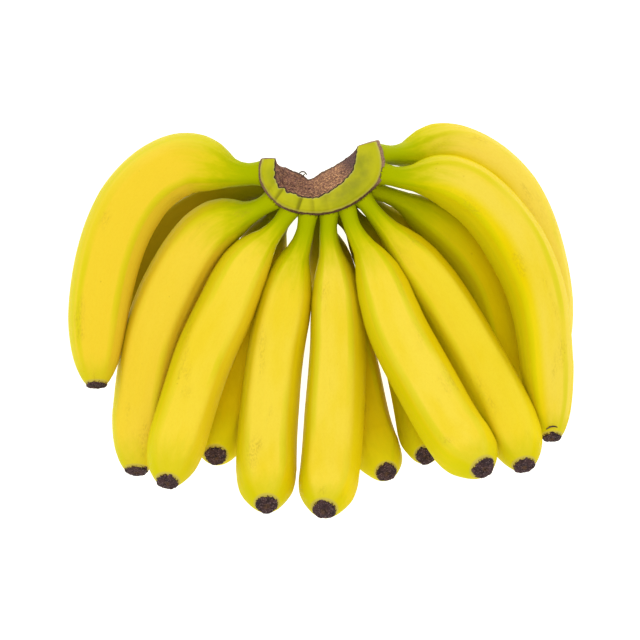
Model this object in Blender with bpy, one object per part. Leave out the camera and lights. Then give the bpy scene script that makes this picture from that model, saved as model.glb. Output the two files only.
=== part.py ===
# A hand of ripe bananas lying on its rounded back, as it rests on a table.
# Fifteen fingers grow from one crown: an upper row of ten and a lower row of five behind it.
# +Z is up, +Y points from the fingertips to the crown, and +X runs across the hand to the right.
# Lengths in the tables below are in millimetres and become metres when a mesh is made.

import math

import bmesh
import bpy
import numpy as np
from mathutils import Vector

MM = 0.001

# The table that the hand lies on, how exactly its cut is made in metres, and the gap between a
# finger and the crown it grows from
TABLE_HEIGHT = 0.0
CUT_TOLERANCE = 1e-7
JOIN_GAP = 0.4

# A finger's section: five soft ridges with a flat side facing up
SECTION_POINTS = 15
RIDGE_COUNT = 5
RIDGE_TURN = math.radians(54.0)
RIDGE_DEPTH = 0.032
RIDGE_START = 45.0

# A pedicel is taller than it is wide, and turns round where it meets the body
PEDICEL_TALLER = 0.22
PEDICEL_LENGTH = 32.0

# How the pedicel swells into the body: distance from the crown, share of the full girth
SWELL = [
    (0.0, 0.0),
    (8.0, 0.02),
    (14.0, 0.07),
    (20.0, 0.18),
    (26.0, 0.4),
    (33.0, 0.62),
    (42.0, 0.79),
    (55.0, 0.9),
    (75.0, 0.96),
    (100.0, 1.0),
]

# How the body thins and rounds off towards the tip, and how the tip lifts off the table
THIN_START = 0.45
THIN_SPAN = 0.4
TIP_ROUNDING = 2.2
TIP_BLUNTNESS = 0.72
LIFT_POWER = 2.2
TURN_UP_LENGTH = 26.0

# The dark stub at the blossom end, with a small pit in it
STUB_LENGTH = 3.0
STUB_END_SHRINK = 0.9
SCAR_PIT = 1.0

# Rings of points along a finger: distances from the crown, then distances back from the tip
ROOT_STATIONS = [8.0, 15.0, 22.0, 29.0, 37.0, 47.0, 60.0]
TIP_STATIONS = [38.0, 27.0, 18.0, 11.0, 6.5, 3.0, 0.0]
BODY_STEP = 17.0
LINE_SAMPLES = 241

# Sliding a pedicel's first ring back to the crown's wall
SLIDE_STEP = 0.05
SLIDE_LIMIT = 30.0

# Each finger, counted from the left horn of the crown to the right one: first the upper row of ten,
# then the lower row of five.
# path: the centre line in plan, from the crown to the tip.
# heights: of the centre line at the root, at its lowest part and at the tip.
# turn_up: how much higher the end curls. lowest_at: how far along the finger is lowest.
# drop: how sharply it comes down from the crown.
# radii: of the pedicel, the body and the stub.
# neck: how long the swelling is. thin: girth near the tip as a share of the full girth.
# taper: the length over which the tip rounds off.
FINGERS = {
    "banana_01": {
        "path": [
            (-36, 90), (-52, 90.3), (-80, 96.8), (-106, 84.6), (-124, 58.5), (-133.5, 28),
            (-138, -8), (-137.5, -42),
        ],
        "heights": (62, 54.8, 58),
        "turn_up": 3.4,
        "lowest_at": 0.5,
        "drop": 1.8,
        "radii": (6.6, 20.5, 6.2),
        "neck": 0.93,
        "thin": 0.87,
        "taper": 50,
    },
    "banana_02": {
        "path": [
            (-29.5, 73.3), (-43, 66.5), (-63, 59), (-80, 42), (-93, 19), (-103, -6), (-109.5, -38),
            (-112.5, -68), (-113, -95),
        ],
        "heights": (63, 45, 56),
        "turn_up": 3.4,
        "lowest_at": 0.5,
        "drop": 1.8,
        "radii": (5.4, 18.5, 6.8),
        "neck": 0.9,
        "thin": 0.94,
        "taper": 40,
    },
    "banana_03": {
        "path": [
            (-19.5, 66), (-27.7, 55.4), (-41.9, 39.4), (-57.7, 8.5), (-70, -18), (-80, -48),
            (-87.5, -75), (-92, -99),
        ],
        "heights": (63, 58, 94),
        "turn_up": 2.6,
        "lowest_at": 0.36,
        "drop": 1.8,
        "radii": (5.1, 18.0, 6.4),
        "neck": 1.02,
        "thin": 0.97,
        "taper": 36,
    },
    "banana_04": {
        "path": [
            (-7.5, 63.5), (-10.5, 50), (-16, 36), (-21.5, 12), (-27, -15), (-31, -48), (-33, -80),
            (-32, -112.5),
        ],
        "heights": (63, 49.5, 88),
        "turn_up": 7.3,
        "lowest_at": 0.42,
        "drop": 1.8,
        "radii": (5.2, 18.0, 6.4),
        "neck": 1.18,
        "thin": 1.0,
        "taper": 32,
    },
    "banana_05": {
        "path": [
            (5.5, 65), (5.2, 54), (7.5, 36), (10, 8), (10.5, -20), (9, -50), (6.5, -84),
            (2.3, -115.5),
        ],
        "heights": (62, 51.5, 90),
        "turn_up": 6.1,
        "lowest_at": 0.42,
        "drop": 1.8,
        "radii": (5.2, 18.0, 6.8),
        "neck": 1.25,
        "thin": 1.0,
        "taper": 30,
    },
    "banana_06": {
        "path": [
            (16.7, 67.5), (20.5, 56), (30, 39.5), (46, -2), (58, -26), (69, -46), (80, -65),
            (98.5, -89.5),
        ],
        "heights": (63, 67, 100),
        "turn_up": 7.8,
        "lowest_at": 0.3,
        "drop": 1.8,
        "radii": (4.9, 19.0, 6.8),
        "neck": 1.28,
        "thin": 1.0,
        "taper": 30,
    },
    "banana_07": {
        "path": [
            (27, 73.8), (36, 62.5), (54.5, 42), (71, 20.5), (91, -12), (109, -46), (118, -68),
            (123.5, -89.5),
        ],
        "heights": (62, 51, 91),
        "turn_up": 1.0,
        "lowest_at": 0.42,
        "drop": 1.8,
        "radii": (5.1, 17.0, 6.4),
        "neck": 1.25,
        "thin": 1.0,
        "taper": 36,
    },
    "banana_08": {
        "path": [
            (33.8, 80.2), (46, 76.2), (62, 68), (80, 54.5), (96, 37), (107.5, 15), (113.5, -8),
            (117, -32), (119.5, -50),
        ],
        "heights": (51, 22.6, 32),
        "turn_up": 3.0,
        "lowest_at": 0.6,
        "drop": 1.6,
        "radii": (5.0, 15.0, 6.0),
        "neck": 1.1,
        "thin": 0.86,
        "taper": 40,
    },
    "banana_09": {
        "path": [
            (37.5, 90), (52, 87.5), (71, 87.5), (90, 81), (110, 63), (124, 42), (134.5, 15),
            (139.5, -18), (141.5, -48), (142.5, -74),
        ],
        "heights": (64, 56, 59),
        "turn_up": 6.0,
        "lowest_at": 0.5,
        "drop": 1.8,
        "radii": (6.0, 18.8, 5.8),
        "neck": 1.0,
        "thin": 0.85,
        "taper": 50,
    },
    "banana_10": {
        "path": [
            (38, 102), (53, 103), (77, 108.2), (104, 98.5), (124.5, 77.5), (139, 43.5), (145, 5),
            (141, -45),
        ],
        "heights": (58, 17.1, 26),
        "turn_up": 3.0,
        "lowest_at": 0.45,
        "drop": 2.6,
        "radii": (5.8, 17.5, 5.6),
        "neck": 1.08,
        "thin": 0.88,
        "taper": 56,
    },
    "banana_11": {
        "path": [
            (-35, 82), (-48, 79.5), (-66, 74), (-84, 62.5), (-100, 46), (-111, 24), (-115, 0),
            (-113, -25), (-108, -48),
        ],
        "heights": (44, 14.7, 14),
        "turn_up": 2.0,
        "lowest_at": 0.45,
        "drop": 2.2,
        "radii": (5.8, 15.5, 5.8),
        "neck": 1.1,
        "thin": 0.9,
        "taper": 46,
    },
    "banana_12": {
        "path": [
            (-23.2, 67.4), (-31.5, 55), (-40, 36), (-47.5, 8), (-54.5, -24), (-60, -54),
            (-64.5, -85),
        ],
        "heights": (43, 16.2, 52),
        "turn_up": 7.5,
        "lowest_at": 0.56,
        "drop": 2.2,
        "radii": (8.0, 17.0, 6.4),
        "neck": 0.68,
        "thin": 1.0,
        "taper": 30,
    },
    "banana_13": {
        "path": [
            (-2, 64.2), (2.4, 52), (7.8, 31), (15.6, -4), (23.6, -38), (31, -69), (41.5, -95),
        ],
        "heights": (43, 15.3, 54),
        "turn_up": 5.7,
        "lowest_at": 0.58,
        "drop": 2.2,
        "radii": (7.2, 15.6, 6.2),
        "neck": 0.78,
        "thin": 1.0,
        "taper": 32,
    },
    "banana_14": {
        "path": [
            (14.9, 67.0), (24.4, 56.9), (35.2, 39), (45.8, 13), (52.2, -12), (57.6, -36),
            (62.2, -61), (65.6, -85),
        ],
        "heights": (43.5, 13.4, 50),
        "turn_up": 7.2,
        "lowest_at": 0.58,
        "drop": 2.2,
        "radii": (7.4, 14.0, 6.2),
        "neck": 0.76,
        "thin": 1.01,
        "taper": 28,
    },
    "banana_15": {
        "path": [
            (27.2, 74.8), (41, 65.4), (59, 49.4), (75, 23), (83.8, -1), (90, -25), (93.5, -46),
            (95, -63),
        ],
        "heights": (40, 11.7, 26),
        "turn_up": 3.0,
        "lowest_at": 0.45,
        "drop": 2.4,
        "radii": (5.6, 12.2, 5.4),
        "neck": 1.0,
        "thin": 0.95,
        "taper": 40,
    },
}

# The crown in plan, at matching stations from the left horn to the right horn: the outer wall that the
# fingers grow from, the upper edge of the cut and the lower edge of the cut
CROWN_WALL = [
    (-35.5, 99), (-37, 89), (-33.5, 79.5), (-24, 69.7), (-12, 65.5), (-1, 64.8),
    (10, 66.7), (19.5, 70.7), (29, 77.5), (35.5, 85), (38, 97), (34.5, 110),
]
CUT_TOP = [
    (-27, 98.5), (-27.3, 90), (-26, 83), (-20, 78.8), (-11, 75.4), (-4, 74.6),
    (4, 77.5), (11, 82), (16.5, 87), (20, 92), (21.7, 100), (23, 106.5),
]
CUT_BOTTOM = [
    (-27.2, 98.8), (-26.2, 97.3), (-22, 95.7), (-16.5, 93.3), (-11, 91), (-7.5, 88.4),
    (0, 92), (6.5, 95.3), (12, 98.5), (16.5, 101.5), (20, 104.3), (23, 107),
]
CROWN_STEPS = 28
CROWN_PLACE = (0.0, 80.0, 55.0)
WALL_SAMPLES = 400

# The crown in section, as shares of the way across each surface and the heights there: the rounded
# band from the wall to the cut, the cut down to its lower edge, and the underside back to the wall
BAND_SECTION = [(0.0, 71.0), (0.12, 74.0), (0.4, 76.6), (0.75, 77.0), (1.0, 75.8)]
CUT_SECTION = [(0.35, 62.0), (0.7, 49.0), (1.0, 35.0)]
UNDER_SECTION = [(0.12, 33.0), (0.88, 33.0), (1.0, 36.0)]

# Base colour and roughness of each surface
PEEL_LOOK = ((0.83, 0.62, 0.04), 0.45)
STUB_LOOK = ((0.06, 0.03, 0.025), 0.85)
CROWN_SKIN_LOOK = ((0.38, 0.40, 0.03), 0.5)
CROWN_CUT_LOOK = ((0.16, 0.07, 0.05), 0.9)


def spline(points, count):
    """A natural cubic spline through the points, as evenly spaced samples."""
    pts = np.array(points, dtype=float)
    chord = along(pts)
    step = np.diff(chord)
    last = len(pts) - 1
    matrix = np.eye(last + 1)
    rhs = np.zeros_like(pts)
    for i in range(1, last):
        matrix[i, i - 1] = step[i - 1]
        matrix[i, i] = 2.0 * (step[i - 1] + step[i])
        matrix[i, i + 1] = step[i]
        rhs[i] = 6.0 * ((pts[i + 1] - pts[i]) / step[i] - (pts[i] - pts[i - 1]) / step[i - 1])
    bend = np.linalg.solve(matrix, rhs)
    out = []
    for t in np.linspace(0.0, chord[-1], count):
        i = min(int(np.searchsorted(chord, t, side="right")) - 1, last - 1)
        a = (chord[i + 1] - t) / step[i]
        b = 1.0 - a
        curve = (a ** 3 - a) * bend[i] + (b ** 3 - b) * bend[i + 1]
        out.append(a * pts[i] + b * pts[i + 1] + curve * step[i] ** 2 / 6.0)
    return np.array(out)


def along(samples):
    """Distance along a sampled line."""
    return np.concatenate([[0.0], np.cumsum(np.linalg.norm(np.diff(samples, axis=0), axis=1))])


def at(distance, dist, values):
    """A row of values at one distance along a line."""
    return np.array([np.interp(distance, dist, column) for column in values.T])


def finger_line(spec):
    """The centre line of one finger in space, finely sampled."""
    plan = spline(spec["path"], LINE_SAMPLES)
    dist = along(plan)
    share = dist / dist[-1]
    root, low, tip = spec["heights"]
    where = spec["lowest_at"]
    before = np.clip((where - share) / where, 0.0, 1.0)
    after = np.clip((share - where) / (1.0 - where), 0.0, 1.0)
    height = low + (root - low) * before ** spec["drop"] + (tip - low) * after ** LIFT_POWER
    curl = np.clip(1.0 - (dist[-1] - dist) / TURN_UP_LENGTH, 0.0, 1.0)
    height = height + spec["turn_up"] * curl ** 2
    return np.column_stack([plan, height])


def finger_radius(spec, s, length):
    """The radius of a finger at a distance s from the crown."""
    pedicel, body, tip = spec["radii"]
    swell = np.interp(s / spec["neck"], [p[0] for p in SWELL], [p[1] for p in SWELL])
    radius = pedicel + (body - pedicel) * swell
    late = min(max((s / length - THIN_START) / THIN_SPAN, 0.0), 1.0)
    radius = radius * (1.0 - (1.0 - spec["thin"]) * late)
    back = max(length - s - STUB_LENGTH, 0.0) / spec["taper"]
    if back < 1.0:
        radius = tip + (radius - tip) * (1.0 - (1.0 - back) ** TIP_ROUNDING) ** TIP_BLUNTNESS
    if s >= length:
        radius = radius * STUB_END_SHRINK
    return float(radius)


def stations(spec, length):
    """Distances from the crown at which a finger gets a ring of points."""
    head = [s * spec["neck"] for s in ROOT_STATIONS]
    tail = [length - s for s in TIP_STATIONS]
    span = tail[0] - head[-1]
    steps = max(2, round(span / BODY_STEP))
    middle = [head[-1] + span * (i + 1) / steps for i in range(steps - 1)]
    return head + middle + tail


def carried_ups(tangent):
    """An up direction carried along a line without twisting."""
    ups = [np.array([0.0, 0.0, 1.0])]
    for t in tangent[1:]:
        carried = ups[-1] - t * np.dot(ups[-1], t)
        ups.append(carried / np.linalg.norm(carried))
    return np.array(ups)


def ring(centre, forward, up, radius, ridges, tall):
    """One ring of points round the centre line."""
    side = np.cross(forward, up)
    side = side / np.linalg.norm(side)
    top = np.cross(side, forward)
    out = []
    for k in range(SECTION_POINTS):
        turn = 2.0 * math.pi * k / SECTION_POINTS
        angle = RIDGE_TURN + turn
        reach = radius * (1.0 + ridges * math.cos(RIDGE_COUNT * turn))
        out.append(centre + reach * (math.cos(angle) * side + tall * math.sin(angle) * top))
    return np.array(out)


def wall_distance(point, wall):
    """Distance in plan from a point to the crown's wall."""
    start = wall[:-1]
    leg = wall[1:] - start
    t = np.clip(np.sum((point[:2] - start) * leg, axis=1) / np.sum(leg * leg, axis=1), 0.0, 1.0)
    nearest = start + leg * t[:, None]
    return float(np.min(np.linalg.norm(nearest - point[:2], axis=1)))


def meet_wall(point, back, wall):
    """Slide a point back along the pedicel until it is one gap away from the crown."""
    travelled = 0.0
    here = point.copy()
    while wall_distance(here, wall) > JOIN_GAP and travelled < SLIDE_LIMIT:
        here = here + back * SLIDE_STEP
        travelled += SLIDE_STEP
    return here


def finger_rings(spec, wall):
    """The rings of one finger from the crown to the tip, and the middles of its two ends."""
    line = finger_line(spec)
    dist = along(line)
    length = dist[-1]
    tangent = np.gradient(line, dist, axis=0)
    tangent = tangent / np.linalg.norm(tangent, axis=1)[:, None]
    ups = carried_ups(tangent)
    rings = []
    for s in stations(spec, length):
        ridges = RIDGE_DEPTH * min(1.0, s / RIDGE_START)
        tall = 1.0 + PEDICEL_TALLER * (1.0 - min(1.0, s / PEDICEL_LENGTH) ** 2)
        forward = at(s, dist, tangent)
        radius = finger_radius(spec, s, length)
        rings.append(ring(at(s, dist, line), forward, at(s, dist, ups), radius, ridges, tall))
    back = -tangent[0]
    root = np.array([meet_wall(point, back, wall) for point in rings[0]])
    root_middle = meet_wall(np.mean(rings[0], axis=0), back, wall)
    scar_middle = np.mean(rings[-1], axis=0) - tangent[-1] * SCAR_PIT
    return [root] + rings, root_middle, scar_middle


def build_finger(name, spec, wall):
    """One whole finger: pedicel, body and dark stub as one closed body."""
    rings, root_middle, scar_middle = finger_rings(spec, wall)
    bm = bmesh.new()
    rows = [[bm.verts.new(Vector(p * MM)) for p in points] for points in rings]
    skin_rows(bm, rows, lambda i, k: 1 if i == len(rows) - 2 else 0)
    start = bm.verts.new(Vector(root_middle * MM))
    end = bm.verts.new(Vector(scar_middle * MM))
    close_end(bm, rows[0], start, 0)
    close_end(bm, rows[-1], end, 1)
    bmesh.ops.triangulate(bm, faces=bm.faces[:])
    if min(v.co.z for v in bm.verts) < TABLE_HEIGHT:
        flatten_on_table(bm)
    return make_object(name, bm, [PEEL, STUB], Vector((*spec["path"][0], spec["heights"][0])) * MM)


def skin_rows(bm, rows, slot):
    """Faces between neighbouring rows of points, each row a closed loop."""
    n = len(rows[0])
    for i in range(len(rows) - 1):
        for k in range(n):
            j = (k + 1) % n
            face = bm.faces.new((rows[i][k], rows[i][j], rows[i + 1][j], rows[i + 1][k]))
            face.material_index = slot(i, k)


def close_end(bm, row, middle, slot):
    """Close a loop of points with a fan about its middle."""
    n = len(row)
    for k in range(n):
        face = bm.faces.new((middle, row[k], row[(k + 1) % n]))
        face.material_index = slot


def flatten_on_table(bm):
    """Give a finger that lies on the table its small flat spot."""
    cut = bmesh.ops.bisect_plane(
        bm,
        geom=bm.verts[:] + bm.edges[:] + bm.faces[:],
        dist=CUT_TOLERANCE,
        plane_co=(0.0, 0.0, TABLE_HEIGHT),
        plane_no=(0.0, 0.0, 1.0),
        clear_inner=True,
    )
    rim = [e for e in cut["geom_cut"] if isinstance(e, bmesh.types.BMEdge)]
    bmesh.ops.triangle_fill(bm, use_beauty=True, use_dissolve=False, edges=rim)


def crown_section(wall, cut_top, cut_bottom):
    """One section of the crown, as a loop of points."""
    loop = [(*(wall + (cut_top - wall) * share), z) for share, z in BAND_SECTION]
    loop += [(*(cut_top + (cut_bottom - cut_top) * share), z) for share, z in CUT_SECTION]
    loop += [(*(cut_bottom + (wall - cut_bottom) * share), z) for share, z in UNDER_SECTION]
    return loop


def build_crown():
    """The crown: a curved slab whose wall carries the fingers and whose inner side is the cut."""
    lines = [spline(points, CROWN_STEPS) for points in (CROWN_WALL, CUT_TOP, CUT_BOTTOM)]
    bm = bmesh.new()
    rows = []
    for wall, cut_top, cut_bottom in zip(*lines):
        rows.append([bm.verts.new(Vector(p) * MM) for p in crown_section(wall, cut_top, cut_bottom)])
    first = len(BAND_SECTION) - 1
    last = first + len(CUT_SECTION)
    skin_rows(bm, rows, lambda i, k: 1 if first <= k < last else 0)
    for row in (rows[0], rows[-1]):
        middle = bm.verts.new(sum((v.co for v in row), Vector()) / len(row))
        close_end(bm, row, middle, 0)
    bmesh.ops.triangulate(bm, faces=bm.faces[:])
    return make_object("crown", bm, [CROWN_SKIN, CROWN_CUT], Vector(CROWN_PLACE) * MM)


def make_object(name, bm, materials, place):
    """Turn a closed body into a named object that stands at its place on the hand."""
    bmesh.ops.recalc_face_normals(bm, faces=bm.faces[:])
    bmesh.ops.translate(bm, verts=bm.verts[:], vec=-place)
    mesh = bpy.data.meshes.new(name)
    bm.to_mesh(mesh)
    bm.free()
    for material in materials:
        mesh.materials.append(material)
    mesh.shade_smooth()
    made = bpy.data.objects.new(name, mesh)
    made.location = place
    made.parent = HAND
    bpy.context.scene.collection.objects.link(made)
    return made


def centre_hand(parts):
    """Move the hand so that the middle of its bounding box stands over the origin."""
    corners = [part.location + Vector(corner) for part in parts for corner in part.bound_box]
    for axis in (0, 1):
        values = [corner[axis] for corner in corners]
        HAND.location[axis] = -(min(values) + max(values)) / 2.0


def plain_material(name, look):
    """A Principled BSDF material with one colour and roughness."""
    colour, roughness = look
    made = bpy.data.materials.new(name)
    made.use_nodes = True
    shader = made.node_tree.nodes["Principled BSDF"]
    shader.inputs["Base Color"].default_value = (*colour, 1.0)
    shader.inputs["Roughness"].default_value = roughness
    return made


for old in list(bpy.data.objects):
    bpy.data.objects.remove(old, do_unlink=True)

PEEL = plain_material("peel", PEEL_LOOK)
STUB = plain_material("stub", STUB_LOOK)
CROWN_SKIN = plain_material("crown_skin", CROWN_SKIN_LOOK)
CROWN_CUT = plain_material("crown_cut", CROWN_CUT_LOOK)

HAND = bpy.data.objects.new("hand", None)
bpy.context.scene.collection.objects.link(HAND)

WALL_LINE = spline(CROWN_WALL, WALL_SAMPLES)
PARTS = [build_crown()]
for finger_name, finger_spec in FINGERS.items():
    PARTS.append(build_finger(finger_name, finger_spec, WALL_LINE))
centre_hand(PARTS)
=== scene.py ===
import math

import bpy
import numpy as np
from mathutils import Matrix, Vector


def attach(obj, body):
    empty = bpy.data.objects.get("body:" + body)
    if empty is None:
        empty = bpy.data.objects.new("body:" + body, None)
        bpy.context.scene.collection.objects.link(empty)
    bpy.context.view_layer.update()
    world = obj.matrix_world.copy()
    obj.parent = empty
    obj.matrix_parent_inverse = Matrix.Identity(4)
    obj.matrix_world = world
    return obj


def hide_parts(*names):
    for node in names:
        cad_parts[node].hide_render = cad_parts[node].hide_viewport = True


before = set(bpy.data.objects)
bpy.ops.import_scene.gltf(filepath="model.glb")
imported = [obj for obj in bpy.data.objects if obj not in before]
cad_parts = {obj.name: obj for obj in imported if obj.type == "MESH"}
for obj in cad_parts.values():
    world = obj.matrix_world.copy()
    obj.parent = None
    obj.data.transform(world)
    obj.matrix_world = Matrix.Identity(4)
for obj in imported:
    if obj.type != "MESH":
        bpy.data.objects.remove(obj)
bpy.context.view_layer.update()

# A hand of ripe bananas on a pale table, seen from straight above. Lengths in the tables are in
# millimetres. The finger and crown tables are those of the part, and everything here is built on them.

MM = 0.001
# The part's own shift, which puts the middle of its bounding box over the origin
HAND_SHIFT = np.array([-2.703, -1.591, 0.0])

# The table that the hand lies on
TABLE_HEIGHT = 0.0

# A finger's section: five soft ridges with a flat side facing up
RIDGE_COUNT = 5
RIDGE_TURN = math.radians(54.0)
RIDGE_DEPTH = 0.032
RIDGE_START = 45.0

# A pedicel is taller than it is wide, and turns round where it meets the body
PEDICEL_TALLER = 0.22
PEDICEL_LENGTH = 32.0

# How the pedicel swells into the body: distance from the crown, share of the full girth
SWELL = [
    (0.0, 0.0),
    (8.0, 0.02),
    (14.0, 0.07),
    (20.0, 0.18),
    (26.0, 0.4),
    (33.0, 0.62),
    (42.0, 0.79),
    (55.0, 0.9),
    (75.0, 0.96),
    (100.0, 1.0),
]

# How the body thins and rounds off towards the tip, and how the tip lifts off the table
THIN_START = 0.45
THIN_SPAN = 0.4
TIP_ROUNDING = 2.2
TIP_BLUNTNESS = 0.72
LIFT_POWER = 2.2
TURN_UP_LENGTH = 26.0

# The dark stub at the blossom end
STUB_LENGTH = 3.0

# Points along a finger's centre line
LINE_SAMPLES = 241

# Sliding a pedicel's first ring back to the crown's wall: how far at most, in how many steps, and which
# share of the distance left each step covers
SLIDE_LIMIT = 30.0
SLIDE_STEPS = 60
SLIDE_SHARE = 0.98

# Each finger, counted from the left horn of the crown to the right one: first the upper row of ten,
# then the lower row of five.
# path: the centre line in plan, from the crown to the tip.
# heights: of the centre line at the root, at its lowest part and at the tip.
# turn_up: how much higher the end curls. lowest_at: how far along the finger is lowest.
# drop: how sharply it comes down from the crown.
# radii: of the pedicel, the body and the stub.
# neck: how long the swelling is. thin: girth near the tip as a share of the full girth.
# taper: the length over which the tip rounds off.
FINGERS = {
    "banana_01": {
        "path": [
            (-36, 90), (-52, 90.3), (-80, 96.8), (-106, 84.6), (-124, 58.5), (-133.5, 28),
            (-138, -8), (-137.5, -42),
        ],
        "heights": (62, 54.8, 58),
        "turn_up": 3.4,
        "lowest_at": 0.5,
        "drop": 1.8,
        "radii": (6.6, 20.5, 6.2),
        "neck": 0.93,
        "thin": 0.87,
        "taper": 50,
    },
    "banana_02": {
        "path": [
            (-29.5, 73.3), (-43, 66.5), (-63, 59), (-80, 42), (-93, 19), (-103, -6), (-109.5, -38),
            (-112.5, -68), (-113, -95),
        ],
        "heights": (63, 45, 56),
        "turn_up": 3.4,
        "lowest_at": 0.5,
        "drop": 1.8,
        "radii": (5.4, 18.5, 6.8),
        "neck": 0.9,
        "thin": 0.94,
        "taper": 40,
    },
    "banana_03": {
        "path": [
            (-19.5, 66), (-27.7, 55.4), (-41.9, 39.4), (-57.7, 8.5), (-70, -18), (-80, -48),
            (-87.5, -75), (-92, -99),
        ],
        "heights": (63, 58, 94),
        "turn_up": 2.6,
        "lowest_at": 0.36,
        "drop": 1.8,
        "radii": (5.1, 18.0, 6.4),
        "neck": 1.02,
        "thin": 0.97,
        "taper": 36,
    },
    "banana_04": {
        "path": [
            (-7.5, 63.5), (-10.5, 50), (-16, 36), (-21.5, 12), (-27, -15), (-31, -48), (-33, -80),
            (-32, -112.5),
        ],
        "heights": (63, 49.5, 88),
        "turn_up": 7.3,
        "lowest_at": 0.42,
        "drop": 1.8,
        "radii": (5.2, 18.0, 6.4),
        "neck": 1.18,
        "thin": 1.0,
        "taper": 32,
    },
    "banana_05": {
        "path": [
            (5.5, 65), (5.2, 54), (7.5, 36), (10, 8), (10.5, -20), (9, -50), (6.5, -84),
            (2.3, -115.5),
        ],
        "heights": (62, 51.5, 90),
        "turn_up": 6.1,
        "lowest_at": 0.42,
        "drop": 1.8,
        "radii": (5.2, 18.0, 6.8),
        "neck": 1.25,
        "thin": 1.0,
        "taper": 30,
    },
    "banana_06": {
        "path": [
            (16.7, 67.5), (20.5, 56), (30, 39.5), (46, -2), (58, -26), (69, -46), (80, -65),
            (98.5, -89.5),
        ],
        "heights": (63, 67, 100),
        "turn_up": 7.8,
        "lowest_at": 0.3,
        "drop": 1.8,
        "radii": (4.9, 19.0, 6.8),
        "neck": 1.28,
        "thin": 1.0,
        "taper": 30,
    },
    "banana_07": {
        "path": [
            (27, 73.8), (36, 62.5), (54.5, 42), (71, 20.5), (91, -12), (109, -46), (118, -68),
            (123.5, -89.5),
        ],
        "heights": (62, 51, 91),
        "turn_up": 1.0,
        "lowest_at": 0.42,
        "drop": 1.8,
        "radii": (5.1, 17.0, 6.4),
        "neck": 1.25,
        "thin": 1.0,
        "taper": 36,
    },
    "banana_08": {
        "path": [
            (33.8, 80.2), (46, 76.2), (62, 68), (80, 54.5), (96, 37), (107.5, 15), (113.5, -8),
            (117, -32), (119.5, -50),
        ],
        "heights": (51, 22.6, 32),
        "turn_up": 3.0,
        "lowest_at": 0.6,
        "drop": 1.6,
        "radii": (5.0, 15.0, 6.0),
        "neck": 1.1,
        "thin": 0.86,
        "taper": 40,
    },
    "banana_09": {
        "path": [
            (37.5, 90), (52, 87.5), (71, 87.5), (90, 81), (110, 63), (124, 42), (134.5, 15),
            (139.5, -18), (141.5, -48), (142.5, -74),
        ],
        "heights": (64, 56, 59),
        "turn_up": 6.0,
        "lowest_at": 0.5,
        "drop": 1.8,
        "radii": (6.0, 18.8, 5.8),
        "neck": 1.0,
        "thin": 0.85,
        "taper": 50,
    },
    "banana_10": {
        "path": [
            (38, 102), (53, 103), (77, 108.2), (104, 98.5), (124.5, 77.5), (139, 43.5), (145, 5),
            (141, -45),
        ],
        "heights": (58, 17.1, 26),
        "turn_up": 3.0,
        "lowest_at": 0.45,
        "drop": 2.6,
        "radii": (5.8, 17.5, 5.6),
        "neck": 1.08,
        "thin": 0.88,
        "taper": 56,
    },
    "banana_11": {
        "path": [
            (-35, 82), (-48, 79.5), (-66, 74), (-84, 62.5), (-100, 46), (-111, 24), (-115, 0),
            (-113, -25), (-108, -48),
        ],
        "heights": (44, 14.7, 14),
        "turn_up": 2.0,
        "lowest_at": 0.45,
        "drop": 2.2,
        "radii": (5.8, 15.5, 5.8),
        "neck": 1.1,
        "thin": 0.9,
        "taper": 46,
    },
    "banana_12": {
        "path": [
            (-23.2, 67.4), (-31.5, 55), (-40, 36), (-47.5, 8), (-54.5, -24), (-60, -54),
            (-64.5, -85),
        ],
        "heights": (43, 16.2, 52),
        "turn_up": 7.5,
        "lowest_at": 0.56,
        "drop": 2.2,
        "radii": (8.0, 17.0, 6.4),
        "neck": 0.68,
        "thin": 1.0,
        "taper": 30,
    },
    "banana_13": {
        "path": [
            (-2, 64.2), (2.4, 52), (7.8, 31), (15.6, -4), (23.6, -38), (31, -69), (41.5, -95),
        ],
        "heights": (43, 15.3, 54),
        "turn_up": 5.7,
        "lowest_at": 0.58,
        "drop": 2.2,
        "radii": (7.2, 15.6, 6.2),
        "neck": 0.78,
        "thin": 1.0,
        "taper": 32,
    },
    "banana_14": {
        "path": [
            (14.9, 67.0), (24.4, 56.9), (35.2, 39), (45.8, 13), (52.2, -12), (57.6, -36),
            (62.2, -61), (65.6, -85),
        ],
        "heights": (43.5, 13.4, 50),
        "turn_up": 7.2,
        "lowest_at": 0.58,
        "drop": 2.2,
        "radii": (7.4, 14.0, 6.2),
        "neck": 0.76,
        "thin": 1.01,
        "taper": 28,
    },
    "banana_15": {
        "path": [
            (27.2, 74.8), (41, 65.4), (59, 49.4), (75, 23), (83.8, -1), (90, -25), (93.5, -46),
            (95, -63),
        ],
        "heights": (40, 11.7, 26),
        "turn_up": 3.0,
        "lowest_at": 0.45,
        "drop": 2.4,
        "radii": (5.6, 12.2, 5.4),
        "neck": 1.0,
        "thin": 0.95,
        "taper": 40,
    },
}

# The crown in plan, at matching stations from the left horn to the right horn: the outer wall that the
# fingers grow from, the upper edge of the cut and the lower edge of the cut
CROWN_WALL = [
    (-35.5, 99), (-37, 89), (-33.5, 79.5), (-24, 69.7), (-12, 65.5), (-1, 64.8),
    (10, 66.7), (19.5, 70.7), (29, 77.5), (35.5, 85), (38, 97), (34.5, 110),
]
CUT_TOP = [
    (-27, 98.5), (-27.3, 90), (-26, 83), (-20, 78.8), (-11, 75.4), (-4, 74.6),
    (4, 77.5), (11, 82), (16.5, 87), (20, 92), (21.7, 100), (23, 106.5),
]
CUT_BOTTOM = [
    (-27.2, 98.8), (-26.2, 97.3), (-22, 95.7), (-16.5, 93.3), (-11, 91), (-7.5, 88.4),
    (0, 92), (6.5, 95.3), (12, 98.5), (16.5, 101.5), (20, 104.3), (23, 107),
]
WALL_SAMPLES = 400

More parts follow.
